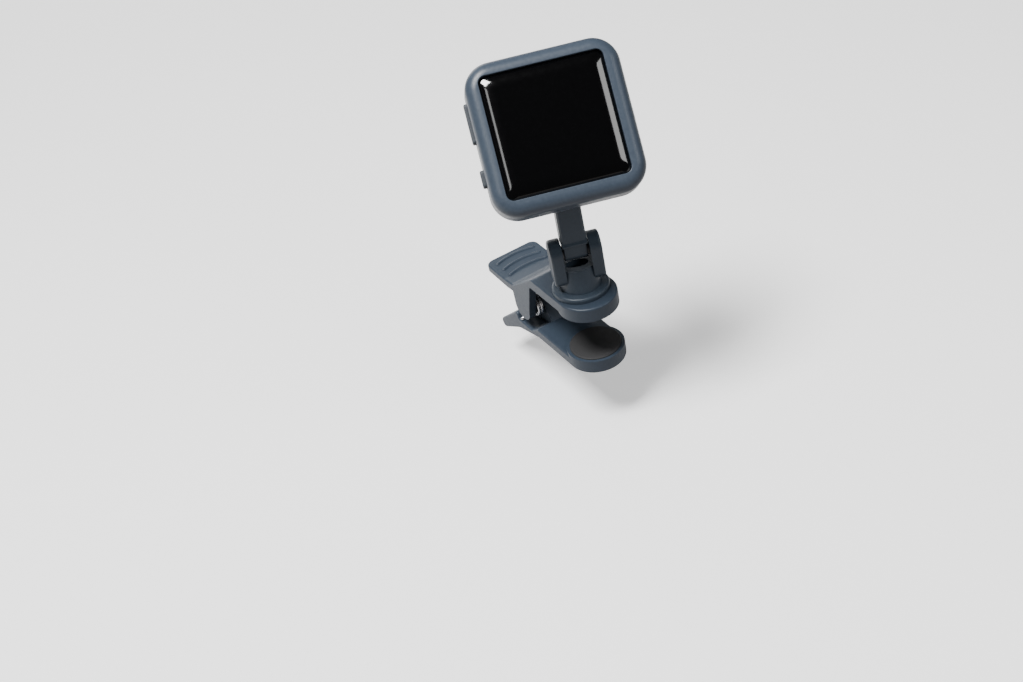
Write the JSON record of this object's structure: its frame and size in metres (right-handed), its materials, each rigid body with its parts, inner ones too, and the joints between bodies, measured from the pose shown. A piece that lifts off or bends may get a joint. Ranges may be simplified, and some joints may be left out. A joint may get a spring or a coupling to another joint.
{
  "type": "clip on tuner",
  "caption": "Small square clip-on instrument tuner: display head on a folding arm, on a turntable over a sprung clip.",
  "frame": {"origin": "centre of the turntable's axis on the grip face of the upper pad, which rests on the headstock's face", "axes": "+Z along the turntable's axis, away from the headstock; +X along the clip from its handles to its jaw tips; Y is the clip's hinge axis"},
  "size_m": [0.05, 0.0395, 0.082],
  "materials": {
    "housing_plastic": "satin",
    "button_plastic": "satin",
    "lens_black": "glossy",
    "tape": "matte",
    "display": "smooth",
    "diffuser": "satin",
    "board": "solder mask",
    "chip": "matte",
    "cell_steel": "nickel plated",
    "brass": "plain",
    "rubber": "matte",
    "steel": "plain",
    "washer": "nylon"
  },
  "bodies": {
    "clip_upper": {"upper_jaw": "housing_plastic", "upper_pad": "rubber", "hinge_pin": "steel", "torsion_spring": "steel"},
    "clip_lower": {"lower_jaw": "housing_plastic", "lower_pad": "rubber"},
    "stand": {"yoke": "housing_plastic", "swivel_washer": "washer", "swivel_screw": "steel", "tilt_pin": "steel"},
    "link": {"arm": "housing_plastic", "tilt_washers": "washer", "head_washers": "washer"},
    "head": {"front_housing": "housing_plastic", "rear_cover": "housing_plastic", "screen_lens": "lens_black", "lens_tape": "tape", "display_glass": "display", "backlight": "diffuser", "circuit_board": "board", "tuner_chip": "chip", "button_switches": "chip", "battery": "cell_steel", "negative_contact": "brass", "positive_contact": "brass", "piezo_disc": "brass", "housing_screws": "steel", "head_pin": "steel"},
    "door": {"battery_door": "housing_plastic"},
    "mode_key": {"mode_button": "button_plastic"},
    "pitch_key": {"pitch_button": "button_plastic"},
    "power_key": {"power_button": "button_plastic"}
  },
  "joints": [
    {"name": "base_swivel", "type": "hinge", "parent": "clip_upper", "child": "stand", "pos_m": [0, 0, 0.0042], "axis": [0, 0, 1], "continuous": true},
    {"name": "arm_tilt", "type": "hinge", "parent": "stand", "child": "link", "pos_m": [0, 0, 0.0147], "axis": [0.3584, 0.9336, 0], "range_deg": [-45, 45]},
    {"name": "head_tilt", "type": "hinge", "parent": "link", "child": "head", "pos_m": [-0.00101, 0.00039, 0.03162], "axis": [0.3584, 0.9336, 0], "range_deg": [-60, 34]},
    {"name": "jaw_pivot", "type": "hinge", "parent": "clip_upper", "child": "clip_lower", "pos_m": [-0.0183, 0, -0.0084], "axis": [0, -1, 0], "range_deg": [-22, 23.5], "stiffness_Nm_per_rad": 0.3, "springref_deg": 2.86, "deforming": ["torsion_spring"]},
    {"name": "mode_press", "type": "slide", "parent": "head", "child": "mode_key", "axis": [0.3584, 0.9336, 0], "range_m": [0, 0.0003], "stiffness_N_per_m": 200, "springref_m": -0.0005},
    {"name": "pitch_press", "type": "slide", "parent": "head", "child": "pitch_key", "axis": [0.3584, 0.9336, 0], "range_m": [0, 0.0003], "stiffness_N_per_m": 200, "springref_m": -0.0005},
    {"name": "power_press", "type": "slide", "parent": "head", "child": "power_key", "axis": [-0.3584, -0.9336, 0], "range_m": [0, 0.0003], "stiffness_N_per_m": 200, "springref_m": -0.0005},
    {"name": "battery_door_turn", "type": "hinge", "parent": "head", "child": "door", "pos_m": [-0.00702, 0.00342, 0.04505], "axis": [0.7152, -0.2745, 0.6428], "range_deg": [0, 40]}
  ]
}
